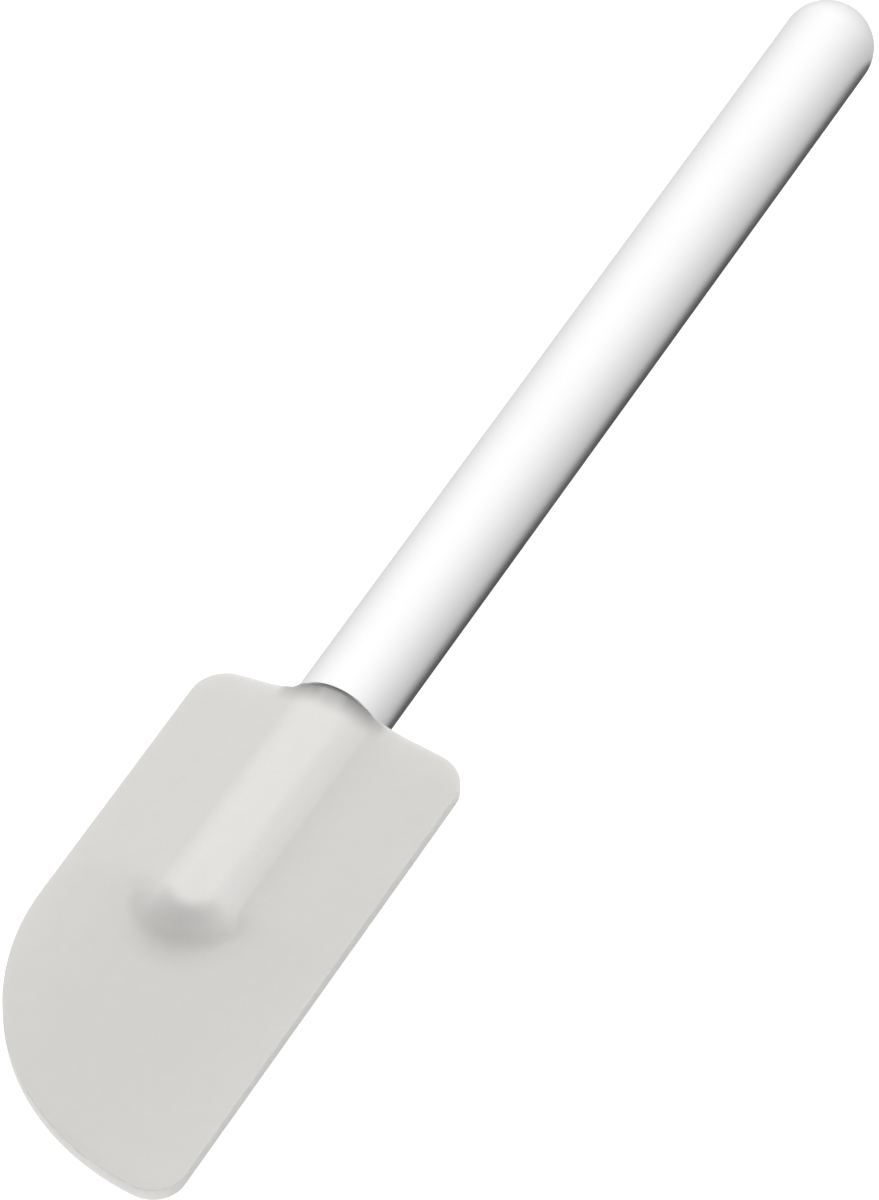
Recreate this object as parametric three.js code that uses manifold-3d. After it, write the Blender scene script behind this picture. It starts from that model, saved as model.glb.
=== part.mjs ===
// A spatula: a moulded silicone blade, pushed onto a nylon core that is bonded into the mouth of a
// stainless steel tube with one closed, rounded end.
// Millimetres. +Y runs along the handle to its rounded end, +Z stands out of the blade's face and
// +X points to the blade's straight edge. The part rests on z = 0, centred over the origin.

import * as THREE from 'three';
import { mergeVertices } from 'three/addons/utils/BufferGeometryUtils.js';
import Module from 'manifold-3d';

const wasm = await Module();
wasm.setup();

// Clearances
const seatGap = 0.3; // blade's top face to the tube's mouth and the core's face
const socketClearance = 0.3; // tang to the socket, all round; the real silicone closes on it
const bondClearance = 0.3; // core plug to the tube's bore, the adhesive's thickness

// Handle tube
const handleDiameter = 18;
const handleLength = 204.5; // mouth to the tip of the rounded end
const handleWall = 1;
const mouthEase = 0.2; // broken edges of the mouth

// Blade outline, measured from the handle's axis and from the blade's top edge
const bladeLength = 110.5;
const bladeLeft = 25.8; // axis to the edge that runs into the long curve
const bladeRight = 27.8; // axis to the straight scraping edge
const cornerRadius = 6.2;
const sweepRadius = 50.5; // long curve from the left edge to the tip

// Blade section: thick along the handle's axis, thin at the edges, the same on both faces
const edgeThickness = 2.6;
const edgeRounding = 0.3;
const crownThickness = 9.2;
const crownLength = 46; // from the top edge, before the crown starts to thin towards the tip
const crownFade = 64; // length over which the crown thins down to the edge's thickness
const ridgeRounding = 5; // softness of the crown along the axis

// Boss over the tang, on both faces
const bossLength = 50; // top edge to the centre of the boss's round end
const bossThickness = 13.8;
const bossFlat = 7.4; // width of the flat along the top
const bossFlankAngle = THREE.MathUtils.degToRad(27);
const bossEdgeBlend = 1.3; // half length of the curve from the flat into the flank
const bossWall = 3.05; // silicone over and under the tang

// Flare that lifts the boss to the tube's diameter
const flareLength = 3;
const flareLip = 0.3;

// Core: a ringed plug in the tube and a flat tang in the blade
const plugLength = 34;
const plugGrooves = 4;
const plugGrooveWidth = 3;
const plugGrooveDepth = 0.8; // room for the adhesive
const plugLead = 1; // chamfer at the plug's inner end
const tangRootWidth = 13;
const tangTipWidth = 11;
const tangEdge = 1.5; // chamfer along the tang
const tangEndWall = 4; // tang's end to the centre of the boss's round end

// Facets
const roundSegments = 72; // round pieces about their axis
const cornerSteps = 10;
const sweepSteps = 36;
const curveSteps = 6;
const sectionSteps = 24; // across the blade
const crownStations = 20; // along the blade
const overlap = 2; // cutting and trimming bodies reach this far past what they cut

const handleRadius = handleDiameter / 2;
const boreRadius = handleRadius - handleWall;
const edgeHalf = edgeThickness / 2;
const crownHalf = crownThickness / 2;
const bossHalf = bossThickness / 2;
const tangThickness = bossThickness - 2 * (bossWall + socketClearance);
const tangLength = bossLength - tangEndWall;

/** One closed shell: coincident corners merged, collapsed triangles dropped. */
function closedShell(geometry) {
  const bare = new THREE.BufferGeometry();
  bare.setAttribute('position', geometry.getAttribute('position'));
  bare.setIndex(geometry.index);
  const shell = mergeVertices(bare);
  const corners = shell.index.array;
  const kept = [];
  for (let i = 0; i < corners.length; i += 3) {
    const [a, b, c] = corners.slice(i, i + 3);
    if (a !== b && b !== c && c !== a) kept.push(a, b, c);
  }
  shell.setIndex(kept);
  return shell;
}

/** The geometry as a solid that can be joined and cut. */
function solid(geometry) {
  const shell = closedShell(geometry);
  const mesh = new wasm.Mesh({
    numProp: 3,
    vertProperties: new Float32Array(shell.getAttribute('position').array),
    triVerts: new Uint32Array(shell.index.array),
  });
  return new wasm.Manifold(mesh);
}

/** A joined or cut solid, back as geometry. */
function geometryOf(manifold) {
  const mesh = manifold.getMesh();
  const geometry = new THREE.BufferGeometry();
  geometry.setAttribute('position', new THREE.BufferAttribute(mesh.vertProperties, mesh.numProp));
  geometry.setIndex(new THREE.BufferAttribute(mesh.triVerts, 1));
  geometry.computeVertexNormals();
  return geometry;
}

/** A body through loops of equal point counts, each turning left as seen from the next loop. */
function loft(loops) {
  const count = loops[0].length;
  const index = [];
  for (let k = 0; k + 1 < loops.length; k++) {
    for (let i = 0; i < count; i++) {
      const a = k * count + i;
      const b = k * count + (i + 1) % count;
      index.push(a, b, b + count, a, b + count, a + count);
    }
  }
  const last = (loops.length - 1) * count;
  for (let i = 1; i + 1 < count; i++) {
    index.push(0, i + 1, i, last, last + i, last + i + 1);
  }
  const geometry = new THREE.BufferGeometry();
  geometry.setAttribute('position', new THREE.Float32BufferAttribute(loops.flat(2), 3));
  geometry.setIndex(index);
  return geometry;
}

/** Points on an arc, given its centre, radius and the angles in turns. */
function arc(x, y, radius, from, to, steps) {
  const curve = new THREE.EllipseCurve(x, y, radius, radius, from * 2 * Math.PI, to * 2 * Math.PI);
  return curve.getPoints(steps);
}

/** The blade's outline, drawn in by an inset: three small corners and the long curve. */
function bladeOutline(inset) {
  const corner = cornerRadius - inset;
  const sweepX = sweepRadius - bladeLeft;
  const rightX = bladeRight - cornerRadius;
  // The tip's corner lies inside the long curve, touching it and the straight edge.
  const reach = sweepRadius - cornerRadius;
  const drop = Math.sqrt(reach ** 2 - Math.max(0, sweepX - rightX) ** 2);
  const sweepY = drop + cornerRadius - bladeLength;
  const tipTurn = 1 - Math.acos((rightX - sweepX) / reach) / (2 * Math.PI);
  const tipY = sweepY + reach * Math.sin(tipTurn * 2 * Math.PI);
  return [
    ...arc(rightX, -cornerRadius, corner, 0, 0.25, cornerSteps),
    new THREE.Vector2(0, -inset),
    ...arc(cornerRadius - bladeLeft, -cornerRadius, corner, 0.25, 0.5, cornerSteps),
    ...arc(sweepX, sweepY, sweepRadius - inset, 0.5, tipTurn, sweepSteps),
    ...arc(rightX, tipY, corner, tipTurn, 1, cornerSteps),
  ];
}

/** Half the sheet's thickness: highest on the axis, falling to the edges and towards the tip. */
function sheetHalf(x, y) {
  const side = x < 0 ? bladeLeft : bladeRight;
  const fall = Math.hypot(x, ridgeRounding) - ridgeRounding;
  const reach = Math.hypot(side, ridgeRounding) - ridgeRounding;
  const faded = THREE.MathUtils.clamp((-y - crownLength) / crownFade, 0, 1);
  const crown = (1 + Math.cos(Math.PI * faded)) / 2;
  return edgeHalf + (crownHalf - edgeHalf) * crown * (1 - fall / reach);
}

/** The crowned slab, running past the outline on every side. */
function crownedSlab() {
  const length = bladeLength + 2 * overlap;
  const width = bladeLeft + bladeRight + 2 * overlap;
  const loops = [];
  for (let k = 0; k <= crownStations; k++) {
    const y = overlap - length * k / crownStations;
    const face = [];
    for (let i = 0; i <= sectionSteps; i++) {
      const x = bladeRight + overlap - width * i / sectionSteps;
      face.push([x, y, sheetHalf(x, y)]);
    }
    const back = face.map(([x, , z]) => [x, y, -z]).reverse();
    loops.push([...face, ...back]);
  }
  return loft(loops);
}

/** The outline as a trimming body whose walls round over at the height of the sheet's faces. */
function roundedTrim() {
  const ease = 1 - Math.SQRT1_2;
  const steps = [
    { inset: 0, drop: edgeRounding },
    { inset: ease * edgeRounding, drop: ease * edgeRounding },
    { inset: edgeRounding, drop: -ease * edgeRounding },
    { inset: edgeRounding + overlap, drop: -2 * overlap },
  ];
  const loopAt = ({ inset, drop }, side) =>
    bladeOutline(inset).map(({ x, y }) => [x, y, side * (sheetHalf(x, y) - drop)]);
  const below = steps.map((step) => loopAt(step, -1)).reverse();
  const above = steps.map((step) => loopAt(step, 1));
  return loft([...below, ...above]);
}

/** Half of the boss's profile, from the edge of its flat down the flank into the sheet. */
function bossProfile() {
  const flatHalf = bossFlat / 2;
  const across = Math.cos(bossFlankAngle);
  const down = Math.sin(bossFlankAngle);
  const run = (bossHalf - edgeHalf) / down;
  const profile = new THREE.Path();
  profile.moveTo(flatHalf - bossEdgeBlend, bossHalf);
  profile.quadraticCurveTo(
    flatHalf, bossHalf,
    flatHalf + bossEdgeBlend * across, bossHalf - bossEdgeBlend * down);
  profile.lineTo(flatHalf + run * across, edgeHalf);
  return profile.getPoints(curveSteps);
}

/** The boss on both faces: a straight run with a round end, stacked up along its profile. */
function boss() {
  const loopAt = ({ x, y }) => [
    [x, 0, y],
    [-x, 0, y],
    ...arc(0, -bossLength, x, 0.5, 1, sweepSteps).map((point) => [point.x, point.y, y]),
  ];
  const above = bossProfile().reverse();
  const below = bossProfile().map(({ x, y }) => ({ x, y: -y }));
  return solid(loft([...below, ...above].map(loopAt)));
}

/** The concave flare below the tube's mouth, turned about the handle's axis. */
function flare() {
  const profile = new THREE.Path();
  profile.moveTo(0, -flareLength - overlap);
  profile.lineTo(bossHalf - flareLip, -flareLength - overlap);
  profile.lineTo(bossHalf - flareLip, -flareLength);
  profile.quadraticCurveTo(bossHalf - flareLip, -flareLip, handleRadius, -flareLip);
  profile.lineTo(handleRadius, 0);
  profile.lineTo(0, 0);
  return solid(new THREE.LatheGeometry(profile.getPoints(curveSteps), roundSegments));
}

/** A flat bar with a round end, chamfered along its edges; grown on every side by a clearance. */
function tangBar(rootY, clearance) {
  const rootHalf = tangRootWidth / 2 - tangEdge;
  const tipHalf = tangTipWidth / 2 - tangEdge;
  const tipY = tipHalf + tangEdge - tangLength;
  const plan = new THREE.Shape();
  plan.moveTo(rootHalf, rootY);
  plan.lineTo(-rootHalf, rootY);
  plan.lineTo(-tipHalf, tipY);
  plan.absarc(0, tipY, tipHalf, Math.PI, 2 * Math.PI);
  plan.closePath();
  const bar = new THREE.ExtrudeGeometry(plan, {
    depth: tangThickness - 2 * tangEdge,
    bevelThickness: tangEdge + clearance,
    bevelSize: tangEdge + clearance,
    bevelSegments: 1,
    curveSegments: sweepSteps,
  });
  bar.translate(0, 0, tangEdge - tangThickness / 2);
  return solid(bar);
}

function bladeGeometry() {
  const sheet = solid(crownedSlab()).intersect(solid(roundedTrim()));
  const body = sheet.add(boss()).add(flare());
  return geometryOf(body.subtract(tangBar(overlap, socketClearance)));
}

/** The plug in the tube: lands that fit the bore, with grooves between them for the adhesive. */
function plug() {
  const landRadius = boreRadius - bondClearance;
  const grooveRadius = landRadius - plugGrooveDepth;
  const inner = seatGap + plugLength;
  const pitch = (plugLength - plugLead) / plugGrooves;
  const profile = [new THREE.Vector2(0, seatGap), new THREE.Vector2(landRadius, seatGap)];
  for (let i = 0; i < plugGrooves; i++) {
    const middle = seatGap + pitch * (i + 0.5);
    const low = middle - plugGrooveWidth / 2;
    const high = middle + plugGrooveWidth / 2;
    profile.push(
      new THREE.Vector2(landRadius, low),
      new THREE.Vector2(grooveRadius, low + plugGrooveDepth),
      new THREE.Vector2(grooveRadius, high - plugGrooveDepth),
      new THREE.Vector2(landRadius, high));
  }
  profile.push(
    new THREE.Vector2(landRadius, inner - plugLead),
    new THREE.Vector2(landRadius - plugLead, inner),
    new THREE.Vector2(0, inner));
  return solid(new THREE.LatheGeometry(profile, roundSegments));
}

function coreGeometry() {
  const rootY = seatGap + plugLength / 2;
  return geometryOf(plug().add(tangBar(rootY, 0)));
}

/** The tube: open at its mouth, closed by a half sphere at its far end, one wall throughout. */
function handleGeometry() {
  const domeY = seatGap + handleLength - handleRadius;
  const profile = new THREE.Path();
  profile.moveTo(0, domeY + boreRadius);
  profile.absarc(0, domeY, boreRadius, Math.PI / 2, 0, true);
  profile.lineTo(boreRadius, seatGap + mouthEase);
  profile.lineTo(boreRadius + mouthEase, seatGap);
  profile.lineTo(handleRadius - mouthEase, seatGap);
  profile.lineTo(handleRadius, seatGap + mouthEase);
  profile.absarc(0, domeY, handleRadius, 0, Math.PI / 2);
  return closedShell(new THREE.LatheGeometry(profile.getPoints(curveSteps), roundSegments));
}

function piece(name, geometry, look) {
  const mesh = new THREE.Mesh(geometry, new THREE.MeshStandardMaterial(look));
  mesh.name = name;
  return mesh;
}

const silicone = { color: '#d5d4d0', roughness: 0.6, metalness: 0 };
const nylon = { color: '#e4e2da', roughness: 0.5, metalness: 0 };
const satinSteel = { color: '#cfcfcf', roughness: 0.35, metalness: 1 };

const spatula = new THREE.Group();
spatula.add(piece('blade', bladeGeometry(), silicone));
spatula.add(piece('core', coreGeometry(), nylon));
spatula.add(piece('handle', handleGeometry(), satinSteel));
spatula.position.set(
  (bladeLeft - bladeRight) / 2,
  (bladeLength - seatGap - handleLength) / 2,
  handleRadius);

export default spatula;
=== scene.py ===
"""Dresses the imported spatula: a soft silicone blade, a nylon core and a satin steel handle.

The part lies with its handle along +Y and the blade's upper face to +Z. All lengths are in metres.
"""

import math

import bpy
import numpy as np
from bpy.props import FloatProperty, FloatVectorProperty, IntProperty, PointerProperty
from bpy.types import Operator, Panel, PropertyGroup
from mathutils import Matrix, Vector


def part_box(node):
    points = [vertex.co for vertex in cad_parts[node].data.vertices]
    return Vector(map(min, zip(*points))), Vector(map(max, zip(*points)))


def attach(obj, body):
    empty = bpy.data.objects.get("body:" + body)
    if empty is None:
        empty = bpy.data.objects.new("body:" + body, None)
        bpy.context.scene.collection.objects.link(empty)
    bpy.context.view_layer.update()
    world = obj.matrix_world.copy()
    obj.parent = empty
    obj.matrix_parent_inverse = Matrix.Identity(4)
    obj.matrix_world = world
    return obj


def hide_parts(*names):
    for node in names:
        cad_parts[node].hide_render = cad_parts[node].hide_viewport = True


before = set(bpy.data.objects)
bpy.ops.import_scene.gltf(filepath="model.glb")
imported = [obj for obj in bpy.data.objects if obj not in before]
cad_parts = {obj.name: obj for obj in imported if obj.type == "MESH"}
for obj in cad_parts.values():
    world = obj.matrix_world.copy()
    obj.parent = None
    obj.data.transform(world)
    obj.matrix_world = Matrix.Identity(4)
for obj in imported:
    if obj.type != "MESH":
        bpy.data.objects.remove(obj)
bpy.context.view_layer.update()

bl_info = {
    "name": "Spatula",
    "version": (1, 0, 0),
    "blender": (4, 5, 0),
    "location": "3D View > Sidebar > Spatula",
    "description": "Makes a bowl spatula with a silicone blade and a steel handle on its packed frame",
    "category": "Add Mesh",
}

BLADE_LOW, BLADE_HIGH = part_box("blade")
HANDLE_LOW, HANDLE_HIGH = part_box("handle")
AXIS = (HANDLE_LOW + HANDLE_HIGH) / 2  # a point on the handle's axis
LIP_GAP = 0.00005  # between the blade's top edge and the tube's mouth
SEAT = HANDLE_LOW.y - LIP_GAP  # the blade's top edge
TUBE_RADIUS = min(HANDLE_HIGH.x - HANDLE_LOW.x, HANDLE_HIGH.z - HANDLE_LOW.z) / 2

TINY = 1e-6  # keeps a division finite
SHARP = math.radians(38)  # edges that turn by more than this stay sharp
END_FOCUS = 3  # how closely the forms of the boss's end keep to the line straight below it

# Columns of the blade's mesh
MILLIMETRE = 0.001
EDGE_PLACES = (0, 0.03, 0.1, 0.22, 0.4, 0.65, 1, 1.45, 2, 2.7, 3.5, 4.5, 5.7)  # millimetres from a side
BOSS_REACH = 0.0115  # half the width that has the boss's close columns
BOSS_COLUMNS = 67
LEFT_COLUMNS = 8
RIGHT_COLUMNS = 9

# Rows of the blade's mesh: a stretch's start and end as shares of the length, its rows, and the power
# that crowds them to its start
ROW_STRETCHES = ((0.0, 0.07, 21, 1.5), (0.07, 0.41, 11, 1.0), (0.41, 0.68, 43, 1.0), (0.68, 1.0, 15, 1.0))
RIM_STEPS = (0.25, 0.5, 0.7, 0.8, 0.88, 0.94, 0.98, 1.0)  # shares of the rim's rounding

SOCKET_STEPS = 33  # points round the socket's end
RUN_STEPS = 21  # points along the tube
INNER_STEPS = 16  # over the inside of the rounded end
OUTER_STEPS = 32  # over its outside
MOUTH_STEPS = 4  # over each eased edge of the mouth

FLOOR_REACH = 30.0  # half the floor's width
FLOOR_LEVEL = -0.0004  # just under the part
STRIP_LEVEL = -0.0002  # between the floor and the part
CLIP_NEAR, CLIP_FAR = 0.01, 200.0  # what the camera shows


def size(name, description, default):
    """A length that a user may change."""
    return FloatProperty(
        name=name, description=description, default=default, min=0.0, unit="LENGTH", precision=5
    )


def tint(name, description, default):
    """A colour that a user may change."""
    return FloatVectorProperty(
        name=name, description=description, default=(*default, 1.0), size=4, min=0.0, max=1.0,
        subtype="COLOR",
    )


def factor(name, description, default):
    """A share from 0 to 1 that a user may change."""
    return FloatProperty(
        name=name, description=description, default=default, min=0.0, max=1.0, subtype="FACTOR"
    )


def amount(name, description, default, unit="NONE"):
    """A strength, a power or a focal length that a user may change."""
    return FloatProperty(name=name, description=description, default=default, min=0.0, unit=unit)


def angle(name, description, degrees, low=-360, high=360):
    """An angle, given in degrees, that a user may change."""
    return FloatProperty(
        name=name, description=description, default=math.radians(degrees), min=math.radians(low),
        max=math.radians(high), subtype="ANGLE",
    )


def direction(name, description, default, subtype="XYZ"):
    """A direction or a place that a user may change."""
    return FloatVectorProperty(
        name=name, description=description, default=default, size=3, subtype=subtype
    )


class SpatulaBlade(PropertyGroup):
    """Sizes and colours of the silicone blade."""

    left: size("Left reach", "Axis to the edge that runs into the long curve", AXIS.x - BLADE_LOW.x)
    right: size("Right reach", "Axis to the straight scraping edge", BLADE_HIGH.x - AXIS.x)
    length: size("Length", "Top edge to tip", SEAT - BLADE_LOW.y)
    corner: size("Corner radius", "Radius of the three small corners", 0.0062)
    sweep: size("Sweep radius", "Radius of the long curve from the left edge to the tip", 0.0505)
    edge: size("Edge thickness", "Thickness of the sheet at its edges", 0.0026)
    edge_round: size("Edge rounding", "Radius along the rim of each face", 0.0001)
    crown: size("Crown thickness", "Thickness of the sheet on the handle's axis", 0.0094)
    crown_length: size("Crown length", "Top edge to where the crown starts to thin", 0.0502)
    dip: factor("Dip", "Share of the crown that is lost close to the boss's end", 0.26)
    dip_start: size("Dip start", "Top edge to the start of the dip", 0.0450)
    dip_length: size("Dip length", "Length of the dip", 0.0240)
    dip_fade: factor("Dip fade", "Share of the dip that is lost beside the boss's end", 0.5)
    dip_reach: size("Dip reach", "Axis to where the dip no longer fades", 0.012)
    ridge: size("Ridge softness", "Softness of the crown along the axis", 0.0050)

    boss_length: size("Boss length", "Top edge to the centre of the boss's round end", 0.0512)
    boss: size("Boss thickness", "Thickness over the boss on both faces", 0.0146)
    boss_flat: size("Boss flat", "Width of the flat along the boss's top", 0.0080)
    boss_flank: angle("Flank angle", "Slope of the boss's flanks", 29, low=0, high=80)
    boss_soft: size("Boss softness", "Softness of the curve from the flat into the flank", 0.0009)
    foot_soft: size("Foot softness", "Fillet between the boss's flanks and the sheet", 0.0004)
    end_soft: size("End softness", "Fillet between the boss's round end and the sheet", 0.0008)
    skirt_start: size("Skirt start", "Boss's middle line to the skirt round its foot", 0.0090)
    skirt_width: size("Skirt width", "Width of the hollow skirt beside the boss's flanks", 0.0058)
    skirt: size("Skirt height", "How far the skirt lifts the sheet beside the flanks", 0.0007)
    end_width: size("End skirt width", "Width of the skirt below the boss's round end", 0.0070)
    end_skirt: size("End skirt height", "How far the skirt lifts the sheet below the round end", 0.0009)

    flare_length: size("Flare length", "Length of the flare below the tube's mouth", 0.0046)
    flare_power: amount("Flare power", "How hollow the flare is", 2.4)
    flare_step: size("Flare step", "How far the flare's lip stays inside the tube's radius", 0.0003)
    flare_swell: size("Flare swell", "How far the flare lifts the boss's flanks", 0.0007)
    flare_reach: size("Flare reach", "Axis to where the flare starts to run out into the sheet", 0.0063)
    flare_fade: size("Flare fade", "Width over which the flare runs out", 0.0024)
    flare_soft: size("Flare softness", "Fillet between the flare and the boss's flanks", 0.0008)
    lip_rise: size("Lip rise", "Height of the steep lip at the flare's end", 0.0002)
    lip_length: size("Lip length", "Length of the steep lip", 0.0002)

    sheet_colour: tint("Sheet colour", "Silicone of the sheet", (0.765, 0.755, 0.73))
    # Partly the pale core seen through the silicone and partly painted light: the thick boss is given a
    # lighter colour.
    core_and_painted_glow_colour: tint("Core and painted glow colour", "Silicone with the pale core behind it", (0.87, 0.86, 0.84))
    core_and_painted_glow_depth: size("Core and painted glow depth", "Lift over the sheet at which the core shows fully", 0.0018)
    end_depth: size("End core depth", "The same lift straight below the boss's end", 0.0010)
    # Painted shade: the pale zone is set off to the right, so the boss's left flank stays darker.
    painted_left_shade_offset: size("Painted left shade offset", "Handle's axis to the middle of the pale zone", 0.0019)
    # Painted light: a lighter colour on the rim and along the top edge, in place of light shining through the
    # thin silicone.
    painted_rim_glow_colour: tint("Painted rim glow colour", "Silicone along the thin rim", (0.90, 0.89, 0.87))
    glow: factor("Top glow", "Share of the rim's colour along the top edge", 0.25)
    painted_glow_length: size("Top glow length", "How far the glow reaches below the top edge", 0.010)
    painted_glow_power: amount("Top glow power", "How fast the glow fades", 2.0)
    # Painted shade: a darker silicone colour beside the tube's mouth and along the flare's lip, in place of
    # the shade between blade and tube. The settings below place it.
    painted_collar_shade_colour: tint("Painted collar shade colour", "Silicone over the dark joint with the tube", (0.45, 0.44, 0.43))
    painted_collar_shade: factor("Painted collar shade", "Share of the joint's colour that shows beside the tube", 0.9)
    painted_collar_shade_length: size("Painted collar shade length", "How far the joint shows below the top edge", 0.0045)
    painted_collar_shade_power: amount("Painted collar shade power", "How fast the joint's colour fades", 1.5)
    painted_collar_shade_start: size("Painted collar shade start", "Axis to where the joint starts to show", 0.0012)
    painted_collar_shade_end: size("Painted collar shade end", "Axis to where the joint no longer shows", 0.0115)
    roughness: factor("Roughness", "Matt finish of the silicone", 0.7)


class SpatulaSocket(PropertyGroup):
    """Sizes of the socket in the blade that takes the core's tang."""

    root: size("Root width", "Width at the top edge", 0.0136)
    tip: size("Tip width", "Width at the round end", 0.0116)
    thickness: size("Thickness", "Height of the socket", 0.0077)
    chamfer: size("Chamfer", "Bevel along the socket's edges", 0.0018)
    depth: size("Depth", "Top edge to the round end", 0.04655)


class SpatulaHandle(PropertyGroup):
    """Sizes and colours of the steel handle and the nylon core."""

    radius: size("Radius", "Outer radius of the tube", TUBE_RADIUS)
    length: size("Length", "Mouth to the tip of the rounded end", HANDLE_HIGH.y - HANDLE_LOW.y)
    wall: size("Wall", "Wall of the tube", 0.001)
    mouth_ease: size("Mouth ease", "Rounding of the mouth's edges", 0.0002)
    steps: IntProperty(name="Segments", description="Segments round the tube", default=128, min=16)
    steel: tint("Steel", "Colour of the satin steel", (0.84, 0.84, 0.845))
    # Painted shade: a dark colour on the tube's mouth in place of the shadow in the gap by the blade.
    painted_mouth_shade: tint("Painted mouth shade", "Colour of the steel on the tube's cut mouth", (0.22, 0.22, 0.22))
    roughness: factor("Roughness", "Satin finish of the steel", 0.42)
    nylon: tint("Nylon", "Colour of the core", (0.76, 0.74, 0.69))


class SpatulaStage(PropertyGroup):
    """The floor, the lights and the camera."""

    floor: tint("Floor", "Colour of the floor", (0.3, 0.3, 0.3))
    floor_glow: amount("Floor glow", "Light of the floor itself, as on a light table", 1.05)
    dark: tint("Dark strips", "Colour of the strips that shade the part", (0.03, 0.03, 0.03))
    polish_far: size("Handle strip", "Handle's axis to the far side of the strip in its polish", 0.018)
    shade_near: size("Edge strip start", "Straight edge to the strip that shades it", 0.001)
    shade_far: size("Edge strip end", "Straight edge to the strip's far side", 0.012)
    key: amount("Key light", "Power of the large light above and behind", 895.0, unit="POWER")
    key_size: size("Key size", "Width of the round key light", 9.0)
    key_distance: size("Key distance", "Part to the key light", 8.0)
    key_from: direction("Key side", "Where the key light stands", (-0.09, 0.66, 0.75))
    fill: amount("Fill", "Strength of the room's soft light", 0.08)
    fill_lean: direction("Fill's lean", "Where the soft light is stronger", (0.0, -0.18, 0.0))
    room: amount("Reflected room", "Brightness of the room in reflections", 0.82)
    room_lean: direction("Room's lean", "Where the reflected room is lighter", (-0.11, 0.15, 0.43))
    focal: amount("Focal length", "Focal length in millimetres", 285.1, unit="CAMERA")
    azimuth: angle("Azimuth", "Camera's turn about the vertical", 28.19)
    elevation: angle("Elevation", "Camera's height above the horizon", 47.43)
    position: direction("Camera", "Camera's place", (0.5490, -1.0337, 1.2706), subtype="TRANSLATION")


# Meshes


def new_object(name, mesh):
    """An object in the scene that shows the mesh."""
    made = bpy.data.objects.new(name, mesh)
    bpy.context.scene.collection.objects.link(made)
    return made


def mesh_of(name, points, faces):
    """A mesh with smooth faces, split where it turns sharply."""
    mesh = bpy.data.meshes.new(name)
    mesh.from_pydata([tuple(p) for p in points], [], faces)
    mesh.validate()
    mesh.update()
    mesh.shade_smooth()
    mesh.set_sharp_from_angle(angle=SHARP)
    return mesh


def places(mesh):
    """The mesh's vertices as arrays of x, y and z."""
    points = np.empty(len(mesh.vertices) * 3)
    mesh.vertices.foreach_get("co", points)
    return points.reshape(-1, 3).T


def add_share(mesh, name, share):
    """Stores a value from 0 to 1 at each vertex, for the finish to read."""
    layer = mesh.attributes.new(name, "FLOAT", "POINT")
    layer.data.foreach_set("value", np.clip(share, 0, 1))


def soft_max(a, b, soft):
    """The higher of two surfaces, with a fillet where they come nearer than soft."""
    share = np.clip((1 + (a - b) / np.maximum(soft, TINY)) / 2, 0, 1)
    return b + (a - b) * share + soft * share * (1 - share)


def ease(share):
    """A smooth step from 0 to 1."""
    share = np.clip(share, 0, 1)
    return share**2 * (3 - 2 * share)


def near_top(y, length, power=1.0):
    """A share that falls from 1 at the blade's top edge to 0 a length below it."""
    return np.clip(1 + y / length, 0, 1) ** power


def sweep_centre(blade):
    """Centre of the long curve, which ends in the tip's small corner."""
    x = blade.sweep - blade.left
    across = max(0.0, x - (blade.right - blade.corner))
    y = blade.corner - blade.length + math.sqrt((blade.sweep - blade.corner) ** 2 - across**2)
    return x, y


def crown_half(blade, x, y):
    """Half the sheet's thickness: highest on the axis, thinning to the edges and to the long curve."""
    side = np.where(x < 0, blade.left, blade.right)
    fall = (np.hypot(x, blade.ridge) - blade.ridge) / (np.hypot(side, blade.ridge) - blade.ridge)
    centre_x, centre_y = sweep_centre(blade)
    rim = centre_y - np.sqrt(np.maximum(blade.sweep**2 - (x - centre_x) ** 2, 0))
    run = np.maximum(-rim - blade.crown_length, TINY)
    thinned = np.clip((-y - blade.crown_length) / run, 0, 1)
    dip = blade.dip * (1 - blade.dip_fade * ease(np.abs(x) / blade.dip_reach))
    kept = 1 - dip * ease((-y - blade.dip_start) / blade.dip_length) - (1 - dip) * thinned
    roof = (blade.crown - blade.edge) / 2 * kept * (1 - np.minimum(fall, 1))
    return blade.edge / 2 + roof + skirt_lift(blade, x, y)


def from_boss(blade, x, y):
    """Distance from the boss's middle line, and how straight below its end: from 0 beside it to 1."""
    past = np.maximum(-y - blade.boss_length, 0)
    away = np.maximum(np.hypot(x, past), TINY)
    return away, past / away


def skirt_lift(blade, x, y):
    """How far the hollow skirt round the boss's foot lifts the sheet; most straight below its end."""
    away, ahead = from_boss(blade, x, y)
    below = ahead**END_FOCUS
    lift = blade.skirt * (1 - ahead) ** 2 + blade.end_skirt * below
    width = blade.skirt_width + (blade.end_width - blade.skirt_width) * below
    return lift * np.clip(1 - (away - blade.skirt_start) / width, 0, 1) ** 2


def boss_half(blade, x, y):
    """Height of the boss: a flat run with a round end and sloping flanks."""
    past = np.minimum(y + blade.boss_length, 0)
    over = np.hypot(x, past) - blade.boss_flat / 2
    down = (over + np.hypot(over, blade.boss_soft)) / 2
    level = (np.hypot(blade.boss_flat / 2, blade.boss_soft) - blade.boss_flat / 2) / 2
    return blade.boss / 2 - math.tan(blade.boss_flank) * (down - level)


def boss_rise(blade, x, y):
    """How far the boss stands over the sheet."""
    return boss_half(blade, x, y) - crown_half(blade, x, y)


def along_boss(blade, y, flank, end):
    """A value that goes from the boss's flanks over to its round end."""
    return flank + (end - flank) * ease(-(y + blade.boss_length) / blade.boss_flat)


def rounding(radius, out):
    """Drop of a rounded edge at a distance out from where the rounding starts."""
    return radius - np.sqrt(np.maximum(radius**2 - np.clip(out, 0, radius) ** 2, 0))


def flare_beside(blade, x):
    """How much of the flare is left beside the axis."""
    return ease((blade.flare_reach + blade.flare_fade - np.abs(x)) / blade.flare_fade)


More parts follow.
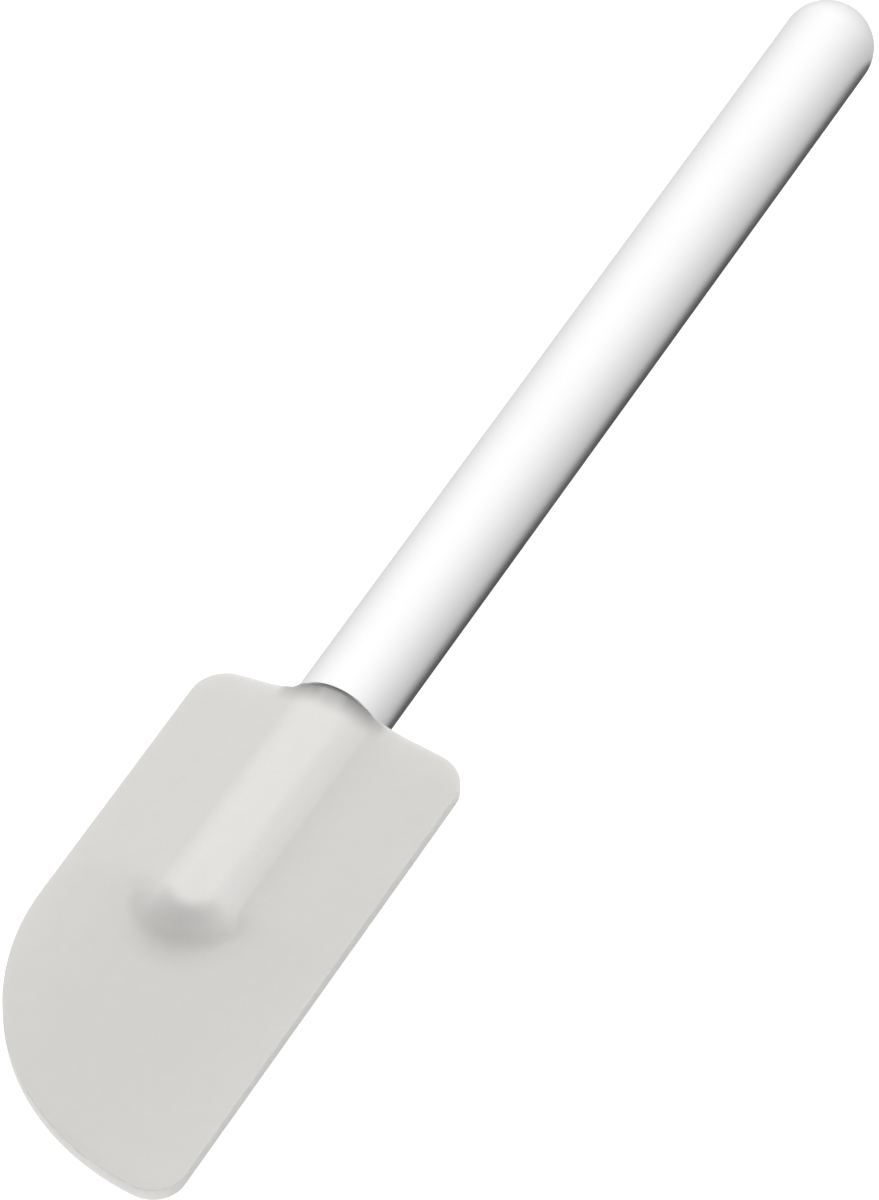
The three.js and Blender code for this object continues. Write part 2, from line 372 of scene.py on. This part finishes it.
def lip_share(blade, x, y):
    """How far a place is up the steep lip that ends the flare."""
    return flare_beside(blade, x) * near_top(y, blade.lip_length)


def lip_height(blade, radius, x, body):
    """Height of the flare's lip at the tube's mouth: the tube's circle, run out into the sheet."""
    reach = radius - blade.flare_step
    circle = np.sqrt(np.maximum(reach**2 - x**2, 0)) - np.maximum(np.abs(x) - reach, 0)
    return soft_max(circle, body + blade.flare_swell * flare_beside(blade, x), blade.flare_soft)


def face_height(blade, radius, x, y, out):
    """Height of the blade's face above its middle plane; out is how far into the rim's rounding."""
    away, ahead = from_boss(blade, x, y)
    soft = blade.foot_soft + (blade.end_soft - blade.foot_soft) * ahead**END_FOCUS
    body = soft_max(crown_half(blade, x, y), boss_half(blade, x, y), soft)
    near = near_top(y, blade.flare_length, blade.flare_power)
    lifted = (lip_height(blade, radius, x, body) - body) * near
    return body + lifted + blade.lip_rise * lip_share(blade, x, y) - rounding(blade.edge_round, out)


def painted_collar_shade_share(blade, x, y):
    """Share of the painted shade beside the tube's mouth: most on both sides of the tube's mouth, fading
    below the top edge.
    """
    middle, half = (blade.painted_collar_shade_end + blade.painted_collar_shade_start) / 2, (blade.painted_collar_shade_end - blade.painted_collar_shade_start) / 2
    off = np.abs(np.abs(x) - middle) / half
    beside = ease(2 * (1 - off))  # full over the middle half of its width
    return beside * near_top(y, blade.painted_collar_shade_length, blade.painted_collar_shade_power)


def blade_shares(blade, radius, x, y, z):
    """How far each of the blade's colours shows at a place: the pale core with painted light, the painted
    shade beside the tube's mouth, and the painted light on the rim.
    """
    away, ahead = from_boss(blade, x, y)
    # The pale zone's offset leaves painted shade on the left flank.
    aside = x - along_boss(blade, y, blade.painted_left_shade_offset, 0.0)
    depth = along_boss(blade, y, blade.core_and_painted_glow_depth, blade.foot_soft)
    depth += (blade.end_depth - blade.foot_soft) * ahead**END_FOCUS
    face = face_height(blade, radius, x, y, np.zeros(len(x)))
    rounded = (face - np.abs(z)) / blade.edge_round
    # Painted light: a glow along the top edge that fades below it.
    glow = blade.glow * near_top(y, blade.painted_glow_length, blade.painted_glow_power)
    return {
        # Pale core and painted light on the boss, run out to nothing at the boss's foot.
        "core and painted glow": np.minimum(boss_rise(blade, aside, y) / depth, boss_rise(blade, x, y) / blade.foot_soft),
        # Painted shade beside the tube's mouth, and a painted shadow line along the flare's steep lip.
        "painted_collar_shade": np.maximum(blade.painted_collar_shade * painted_collar_shade_share(blade, x, y), lip_share(blade, x, y)),
        # Painted light on the rounded rim, and the painted glow along the top edge.
        "rim": np.maximum(np.minimum(rounded, -y / blade.flare_length), glow),
    }


def blade_columns(blade):
    """Places across the blade: close at the corners and over the boss, wide between."""
    low, high = blade.edge_round - blade.left, blade.right - blade.edge_round
    ends = MILLIMETRE * np.array(EDGE_PLACES)
    boss = np.linspace(-BOSS_REACH, BOSS_REACH, BOSS_COLUMNS)
    left = np.linspace(low + ends[-1], boss[0], LEFT_COLUMNS)
    right = np.linspace(boss[-1], high - ends[-1], RIGHT_COLUMNS)
    return np.concatenate([low + ends, left[1:-1], boss, right[1:-1], high - ends[::-1]])


def blade_rows():
    """Places down the blade as shares of its length: close at the flare and the boss's end."""
    stretches = [
        start + (end - start) * (np.arange(count) / count) ** power
        for start, end, count, power in ROW_STRETCHES
    ]
    return np.concatenate([*stretches, [1.0]])


def blade_grid(blade):
    """Places on the blade's face inside its rounded rim, and the outward directions along the rim."""
    corner, sweep = blade.corner - blade.edge_round, blade.sweep - blade.edge_round
    left_x, right_x = blade.corner - blade.left, blade.right - blade.corner
    sweep_x, sweep_y = sweep_centre(blade)
    tip_y = blade.corner - blade.length
    meet_x = sweep_x + (right_x - sweep_x) * sweep / (blade.sweep - blade.corner)

    x = blade_columns(blade)
    centre_x = np.clip(x, left_x, right_x)
    rise = np.sqrt(np.maximum(corner**2 - (x - centre_x) ** 2, 0))
    top = rise - blade.corner
    in_sweep = x < meet_x
    low_x = np.where(in_sweep, sweep_x, right_x)
    low_y = np.where(in_sweep, sweep_y, tip_y)
    low_r = np.where(in_sweep, sweep, corner)
    bottom = low_y - np.sqrt(np.maximum(low_r**2 - (x - low_x) ** 2, 0))

    y = top + (bottom - top) * blade_rows()[:, None]
    out_x, out_y = np.zeros(y.shape), np.zeros(y.shape)
    out_x[:, 0], out_x[:, -1] = -1, 1
    out_x[0], out_y[0] = (x - centre_x) / corner, rise / corner
    out_x[-1], out_y[-1] = (x - low_x) / low_r, (bottom - low_y) / low_r
    return np.stack([np.broadcast_to(x, y.shape), y], -1), np.stack([out_x, out_y], -1)


def band(inner, outer):
    """Faces between two closed loops of vertices."""
    return np.stack([inner, outer, np.roll(outer, -1), np.roll(inner, -1)], 1).tolist()


def blade_mesh(blade, radius):
    """The blade as one closed skin: two crowned faces, a rounded rim and the wall between them."""
    grid, outward = blade_grid(blade)
    rows, columns = grid.shape[:2]
    count = rows * columns
    grid, outward = grid.reshape(-1, 2), outward.reshape(-1, 2)

    # The rim's vertices in one loop, turning left
    index = np.arange(count).reshape(rows, columns)
    loop = np.concatenate([index[:, 0], index[-1, 1:], index[-2::-1, -1], index[0, -2:0:-1]])

    # A rim point keeps the sheet's thickness at its own place, so the rounding follows the crown.
    steps = blade.edge_round * np.array(RIM_STEPS)
    x, y = np.concatenate([grid, *(grid[loop] + outward[loop] * out for out in steps)]).T
    out = np.concatenate([np.zeros(count), np.repeat(steps, len(loop))])
    face = np.column_stack([x, y, face_height(blade, radius, x, y, out)])
    points = np.concatenate([face, face * (1, 1, -1)])

    cells = index[:-1, :-1], index[1:, :-1], index[1:, 1:], index[:-1, 1:]
    faces = np.stack([cell.ravel() for cell in cells], 1).tolist()
    ring = loop
    for start in range(count, len(face), len(loop)):
        outer = start + np.arange(len(loop))
        faces += band(ring, outer)
        ring = outer
    back = len(face)
    faces += [[i + back for i in reversed(corners)] for corners in faces]
    faces += band(ring, ring + back)
    return mesh_of("blade_silicone", points, faces)


def socket_mesh(socket, past):
    """The space for the tang: a flat bar with a round end, bevelled along its edges."""
    tip = socket.tip / 2
    half = socket.thickness / 2
    end = tip - socket.depth
    turn = np.linspace(0, np.pi, SOCKET_STEPS)
    levels = ((half, socket.chamfer), (half - socket.chamfer, 0.0))
    loops = []
    for z, inset in (*levels, *((-z, inset) for z, inset in reversed(levels))):
        root = socket.root / 2 - inset
        curve = np.column_stack([(tip - inset) * np.cos(turn), end - (tip - inset) * np.sin(turn)])
        plan = np.concatenate([[(root, past)], curve, [(-root, past)]])
        loops.append(np.column_stack([plan, np.full(len(plan), z)]))
    count = len(loops[0])
    total = count * len(loops)
    faces = [list(range(count))[::-1], list(range(total - count, total))]
    for k in range(len(loops) - 1):
        for i in range(count):
            a, b = k * count + i, k * count + (i + 1) % count
            faces.append([a, b, b + count, a + count])
    return mesh_of("socket", np.concatenate(loops), faces)


def cut(target, tool):
    """Takes one closed mesh out of another."""
    knife = new_object("knife", tool)
    body = new_object("body", target)
    modifier = body.modifiers.new("Socket", "BOOLEAN")
    modifier.operation = "DIFFERENCE"
    modifier.solver = "EXACT"
    modifier.object = knife
    shown = body.evaluated_get(bpy.context.evaluated_depsgraph_get())
    made = bpy.data.meshes.new_from_object(shown)
    for spare in (knife, body):
        bpy.data.objects.remove(spare)
    if len(made.vertices) <= len(target.vertices):
        raise RuntimeError("the socket was not cut")
    made.set_sharp_from_angle(angle=SHARP)
    return made


def lathe(name, profile, steps):
    """A skin turned about the Y axis; the profile holds (radius, y), and starts and ends on the axis."""
    turn = np.linspace(0, 2 * np.pi, steps, endpoint=False)
    points = [(0.0, profile[0][1], 0.0)]
    for r, y in profile[1:-1]:
        points += [(r * math.cos(a), y, r * math.sin(a)) for a in turn]
    points.append((0.0, profile[-1][1], 0.0))
    rings = len(profile) - 2
    last = len(points) - 1
    faces = []
    for i in range(steps):
        j = (i + 1) % steps
        faces.append([0, 1 + i, 1 + j])
        for k in range(rings - 1):
            a, b = 1 + k * steps, 1 + (k + 1) * steps
            faces.append([a + i, b + i, b + j, a + j])
        faces.append([last, 1 + (rings - 1) * steps + j, 1 + (rings - 1) * steps + i])
    return mesh_of(name, points, faces)


def arc(x, y, radius, start, end, steps):
    """Points on an arc in the profile's plane; the angles are in degrees."""
    turn = np.radians(np.linspace(start, end, steps + 1))
    return [(x + radius * math.cos(a), y + radius * math.sin(a)) for a in turn]


def tube_profile(handle):
    """The tube's wall: from the inside of the rounded end, round the mouth, to its outside."""
    mouth = handle.mouth_ease
    bore = handle.radius - handle.wall
    dome = handle.length - handle.radius
    run = np.linspace(dome, mouth, RUN_STEPS)[1:]
    inner = arc(0, dome, bore, 90, 0, INNER_STEPS)
    outer = arc(0, dome, handle.radius, 0, 90, OUTER_STEPS)
    inner[0] = (0.0, dome + bore)
    outer[-1] = (0.0, handle.length)
    return [
        *inner,
        *((bore, y) for y in run),
        *arc(bore + mouth, mouth, mouth, 180, 270, MOUTH_STEPS)[1:],
        *arc(handle.radius - mouth, mouth, mouth, 270, 360, MOUTH_STEPS),
        *((handle.radius, y) for y in run[-2::-1]),
        *outer,
    ]


# Finishes


def node(tree, kind, inputs=None, **settings):
    """A shader node with its settings and inputs; an input is a value or another node's socket."""
    made = tree.nodes.new(kind)
    for key, value in settings.items():
        setattr(made, key, value)
    for key, value in (inputs or {}).items():
        if isinstance(value, bpy.types.NodeSocket):
            tree.links.new(value, made.inputs[key])
        else:
            made.inputs[key].default_value = value
    return made


def new_finish(name):
    """A material with nodes, its node tree and its shader."""
    finish = bpy.data.materials.new(name)
    finish.use_nodes = True
    tree = finish.node_tree
    return finish, tree, tree.nodes["Principled BSDF"]


def place_in(tree):
    """The object's own coordinates."""
    return node(tree, "ShaderNodeTexCoord").outputs["Object"]


def noise(tree, place, scale, detail):
    """A cloudy noise round 0.5."""
    inputs = {"Vector": place, "Scale": scale, "Detail": detail}
    return node(tree, "ShaderNodeTexNoise", inputs).outputs["Fac"]


def spread(tree, value, low, high):
    """Maps a value from 0..1 to low..high."""
    return node(tree, "ShaderNodeMapRange", {"Value": value, "To Min": low, "To Max": high}).outputs[0]


def bump(tree, height, strength, distance):
    """A fine relief."""
    inputs = {"Height": height, "Strength": strength, "Distance": distance}
    return node(tree, "ShaderNodeBump", inputs).outputs[0]


def blend(tree, attribute, first, second):
    """Goes from the first colour to the second by a share stored in the mesh."""
    share = node(tree, "ShaderNodeAttribute", attribute_name=attribute).outputs["Fac"]
    # The mix node has its colours at sockets 6 and 7, and the mixed colour at output 2.
    return node(tree, "ShaderNodeMix", {"Factor": share, 6: first, 7: second}, data_type="RGBA").outputs[2]


def feed(tree, shader, **sources):
    """Links sockets to the shader's inputs, whose names are written with underscores."""
    for key, source in sources.items():
        tree.links.new(source, shader.inputs[key.replace("_", " ").title()])


def settle(shader, values):
    """Sets the shader's inputs that are the same all over."""
    for key, value in values.items():
        shader.inputs[key].default_value = value


def silicone_finish(blade):
    """Matt, slightly clouded silicone. It is lighter on the boss, partly from the pale core behind it and
    partly from painted light. It has painted glow on the rim and painted shade beside the tube.
    """
    finish, tree, shader = new_finish("soft silicone")
    place = place_in(tree)
    cloud = noise(tree, place, scale=260.0, detail=4.0)
    grain = noise(tree, place, scale=2600.0, detail=3.0)
    # Pale core and painted light on the boss.
    body = blend(tree, "core and painted glow", blade.sheet_colour, blade.core_and_painted_glow_colour)
    # Painted light on the rim and along the top edge.
    body = blend(tree, "rim", body, blade.painted_rim_glow_colour)
    # Painted shade beside the tube's mouth.
    body = blend(tree, "painted_collar_shade", body, blade.painted_collar_shade_colour)
    cloudy = spread(tree, cloud, low=0.985, high=1.015)
    grained = spread(tree, grain, low=0.97, high=1.03)
    speckle = node(tree, "ShaderNodeMath", {0: cloudy, 1: grained}, operation="MULTIPLY").outputs[0]
    colour = node(tree, "ShaderNodeVectorMath", {0: body, 1: speckle}, operation="MULTIPLY").outputs[0]
    rough = spread(tree, cloud, low=blade.roughness - 0.05, high=blade.roughness + 0.05)
    relief = bump(tree, grain, strength=0.25, distance=0.00004)
    feed(tree, shader, base_color=colour, roughness=rough, normal=relief)
    settle(shader, {
        "IOR": 1.41,
        "Specular IOR Level": 0.3,
        "Subsurface Weight": 0.4,
        "Subsurface Radius": (1.0, 0.97, 0.92),
        "Subsurface Scale": 0.002,
    })
    return finish


def steel_finish(handle):
    """Satin steel, drawn lengthwise, with faint lines along the tube."""
    finish, tree, shader = new_finish("satin steel")
    place = place_in(tree)
    drawn = node(tree, "ShaderNodeMapping", {"Vector": place, "Scale": (1.0, 0.012, 1.0)}).outputs[0]
    lines = noise(tree, drawn, scale=3200.0, detail=3.0)
    haze = noise(tree, place, scale=45.0, detail=3.0)
    both = node(tree, "ShaderNodeMath", {0: lines, 1: haze}, operation="MULTIPLY").outputs[0]
    rough = spread(tree, both, low=handle.roughness - 0.04, high=handle.roughness + 0.08)
    relief = bump(tree, lines, strength=0.04, distance=0.00002)
    # Painted shade: the steel goes dark on the mouth, where the gap by the blade lies in shadow.
    colour = blend(tree, "painted mouth shade", handle.steel, handle.painted_mouth_shade)
    feed(tree, shader, base_color=colour, roughness=rough, normal=relief)
    settle(shader, {"Metallic": 1.0})
    return finish


def nylon_finish(handle):
    """Natural moulded nylon with a fine spark-eroded grain."""
    finish, tree, shader = new_finish("natural nylon")
    place = place_in(tree)
    cloud = noise(tree, place, scale=180.0, detail=3.0)
    grain = noise(tree, place, scale=3000.0, detail=2.0)
    shade = spread(tree, cloud, low=0.94, high=1.04)
    colour = node(tree, "ShaderNodeVectorMath", {0: handle.nylon[:3], 1: shade},
                  operation="MULTIPLY").outputs[0]
    rough = spread(tree, grain, low=0.4, high=0.55)
    relief = bump(tree, grain, strength=0.3, distance=0.00003)
    feed(tree, shader, base_color=colour, roughness=rough, normal=relief)
    settle(shader, {"Subsurface Weight": 0.15, "Subsurface Scale": 0.001})
    return finish


def floor_finish(stage):
    """A pale floor that gives a little light of its own."""
    finish, tree, shader = new_finish("pale floor")
    cloud = noise(tree, place_in(tree), scale=3.0, detail=2.0)
    feed(tree, shader, roughness=spread(tree, cloud, low=0.85, high=0.95))
    settle(shader, {
        "Base Color": stage.floor,
        "Specular IOR Level": 0.0,
        "Emission Color": (1.0, 1.0, 1.0, 1.0),
        "Emission Strength": stage.floor_glow,
    })
    return finish


def dark_finish(stage):
    """Matt black for the strips that shade the part."""
    finish, tree, shader = new_finish("dark strip")
    settle(shader, {"Base Color": stage.dark, "Specular IOR Level": 0.0})
    return finish


# Operators


class SPATULA_OT_blade(Operator):
    """Makes the silicone blade in place of its plain solid"""

    bl_idname = "spatula.blade"
    bl_label = "Make blade"

    def execute(self, context):
        blade = context.scene.spatula_blade
        radius = context.scene.spatula_handle.radius
        skin = blade_mesh(blade, radius)
        mesh = cut(skin, socket_mesh(context.scene.spatula_socket, blade.edge))
        bpy.data.meshes.remove(skin)
        for name, share in blade_shares(blade, radius, *places(mesh)).items():
            add_share(mesh, name, share)
        mesh.transform(Matrix.Translation((AXIS.x, SEAT, AXIS.z)))
        mesh.materials.append(silicone_finish(blade))
        made = new_object("blade_silicone", mesh)
        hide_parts("blade")
        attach(made, "blade")
        return {"FINISHED"}


class SPATULA_OT_handle(Operator):
    """Makes the satin steel tube in place of its plain solid"""

    bl_idname = "spatula.handle"
    bl_label = "Make handle"

    def execute(self, context):
        handle = context.scene.spatula_handle
        mesh = lathe("handle_tube", tube_profile(handle), handle.steps)
        x, y, z = places(mesh)
        # The painted shade at the mouth stands in for the shadow in the gap by the blade. It runs out over
        # the upper half of the mouth's rounding.
        add_share(mesh, "painted mouth shade", 2 * (1 - y / handle.mouth_ease))
        mesh.transform(Matrix.Translation((AXIS.x, HANDLE_LOW.y, AXIS.z)))
        mesh.materials.append(steel_finish(handle))
        made = new_object("handle_tube", mesh)
        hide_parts("handle")
        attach(made, "handle")
        return {"FINISHED"}


class SPATULA_OT_core(Operator):
    """Finishes the nylon core"""

    bl_idname = "spatula.core"
    bl_label = "Finish core"

    def execute(self, context):
        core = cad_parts["core"]
        core.data.materials.clear()
        core.data.materials.append(nylon_finish(context.scene.spatula_handle))
        return {"FINISHED"}


class SPATULA_OT_stage(Operator):
    """Sets the floor, the lights, the room and the camera"""

    bl_idname = "spatula.stage"
    bl_label = "Set stage"

    def card(self, name, low, high, level, finish):
        """A flat, level piece of the stage between two corners."""
        corners = [(low[0], low[1]), (high[0], low[1]), (high[0], high[1]), (low[0], high[1])]
        made = new_object(name, mesh_of(name, [(*corner, level) for corner in corners], [[0, 1, 2, 3]]))
        made.data.materials.append(finish)
        return made

    def strip(self, name, near, far, end, finish):
        """A strip on the floor from the blade's tip to an end, unseen by the camera."""
        made = self.card(name, (near, BLADE_LOW.y), (far, end), STRIP_LEVEL, finish)
        made.visible_camera = made.visible_shadow = False
        made.visible_transmission = made.visible_volume_scatter = False
        return made

    def ground(self, stage):
        """The floor, and two dark strips on it."""
        reach = (FLOOR_REACH, FLOOR_REACH)
        floor = self.card("floor", (-FLOOR_REACH, -FLOOR_REACH), reach, FLOOR_LEVEL, floor_finish(stage))
        floor.visible_glossy = False
        # A strip beside the handle, seen only in its polish, draws the tube's shaded side. Another, seen
        # only by soft light, shades the blade's straight edge.
        dark = dark_finish(stage)
        polish = self.strip("dark_strip", AXIS.x, AXIS.x + stage.polish_far, HANDLE_HIGH.y, dark)
        polish.visible_diffuse = False
        near, far = BLADE_HIGH.x + stage.shade_near, BLADE_HIGH.x + stage.shade_far
        shade = self.strip("edge_strip", near, far, BLADE_HIGH.y, dark)
        shade.visible_glossy = False

    def light(self, stage):
        """The broad key light, which shows in no reflection."""
        lamp = bpy.data.lights.new("key light", "AREA")
        lamp.shape = "DISK"
        lamp.size = stage.key_size
        lamp.energy = stage.key
        key = new_object("key light", lamp)
        toward = Vector(stage.key_from).normalized()
        key.location = toward * stage.key_distance
        key.rotation_euler = toward.to_track_quat("Z", "Y").to_euler()
        key.visible_glossy = False

    def glow(self, tree, level, lean):
        """A room that is lighter towards one side."""
        toward = node(tree, "ShaderNodeTexCoord").outputs["Generated"]
        along = node(tree, "ShaderNodeVectorMath", {0: toward, 1: lean},
                     operation="DOT_PRODUCT").outputs["Value"]
        level = node(tree, "ShaderNodeMath", {0: along, 1: level}, operation="ADD").outputs[0]
        level = node(tree, "ShaderNodeMath", {0: level, 1: 0.0}, operation="MAXIMUM").outputs[0]
        return node(tree, "ShaderNodeBackground", {"Color": (1, 1, 1, 1), "Strength": level}).outputs[0]

    def room(self, stage):
        """The room: a weak soft light, and brighter walls that show only in reflections."""
        world = bpy.data.worlds.new("studio")
        world.use_nodes = True
        tree = world.node_tree
        tree.nodes.clear()
        reflected = node(tree, "ShaderNodeLightPath").outputs["Is Glossy Ray"]
        fill = self.glow(tree, stage.fill, stage.fill_lean)
        walls = self.glow(tree, stage.room, stage.room_lean)
        both = node(tree, "ShaderNodeMixShader", {0: reflected, 1: fill, 2: walls})
        node(tree, "ShaderNodeOutputWorld", {"Surface": both.outputs[0]})
        return world

    def camera(self, stage):
        """The camera at the photograph's place and angle."""
        lens = bpy.data.cameras.new("camera")
        lens.lens = stage.focal
        lens.clip_start, lens.clip_end = CLIP_NEAR, CLIP_FAR
        camera = new_object("camera", lens)
        a, e = stage.azimuth, stage.elevation
        back = Vector((math.sin(a) * math.cos(e), -math.cos(a) * math.cos(e), math.sin(e)))
        camera.location = stage.position
        camera.rotation_euler = (-back).to_track_quat("-Z", "Y").to_euler()
        return camera

    def execute(self, context):
        scene = context.scene
        stage = scene.spatula_stage
        self.ground(stage)
        self.light(stage)
        scene.world = self.room(stage)
        scene.camera = self.camera(stage)
        scene.view_settings.view_transform = "Standard"
        return {"FINISHED"}


class VIEW3D_PT_spatula(Panel):
    """Lists the spatula's sizes, colours and steps"""

    bl_label = "Spatula"
    bl_space_type = "VIEW_3D"
    bl_region_type = "UI"
    bl_category = "Spatula"

    def draw(self, context):
        for name, step in STEPS.items():
            box = self.layout.box()
            box.operator(step.bl_idname)
            for group in GROUPS.get(name, ()):
                settings = getattr(context.scene, group)
                for prop in settings.__annotations__:
                    box.prop(settings, prop)


SETTINGS = {
    "spatula_blade": SpatulaBlade,
    "spatula_socket": SpatulaSocket,
    "spatula_handle": SpatulaHandle,
    "spatula_stage": SpatulaStage,
}
STEPS = {
    "blade": SPATULA_OT_blade,
    "handle": SPATULA_OT_handle,
    "core": SPATULA_OT_core,
    "stage": SPATULA_OT_stage,
}
GROUPS = {
    "blade": ("spatula_blade", "spatula_socket"),
    "handle": ("spatula_handle",),
    "stage": ("spatula_stage",),
}
CLASSES = (*SETTINGS.values(), *STEPS.values(), VIEW3D_PT_spatula)


def register():
    for made in CLASSES:
        bpy.utils.register_class(made)
    for name, settings in SETTINGS.items():
        setattr(bpy.types.Scene, name, PointerProperty(type=settings))


def unregister():
    for name in SETTINGS:
        delattr(bpy.types.Scene, name)
    for made in reversed(CLASSES):
        bpy.utils.unregister_class(made)


def main():
    """Makes every piece and the stage."""
    register()
    for name in STEPS:
        getattr(bpy.ops.spatula, name)()
    bpy.context.view_layer.update()


if __name__ == "__main__":
    main()
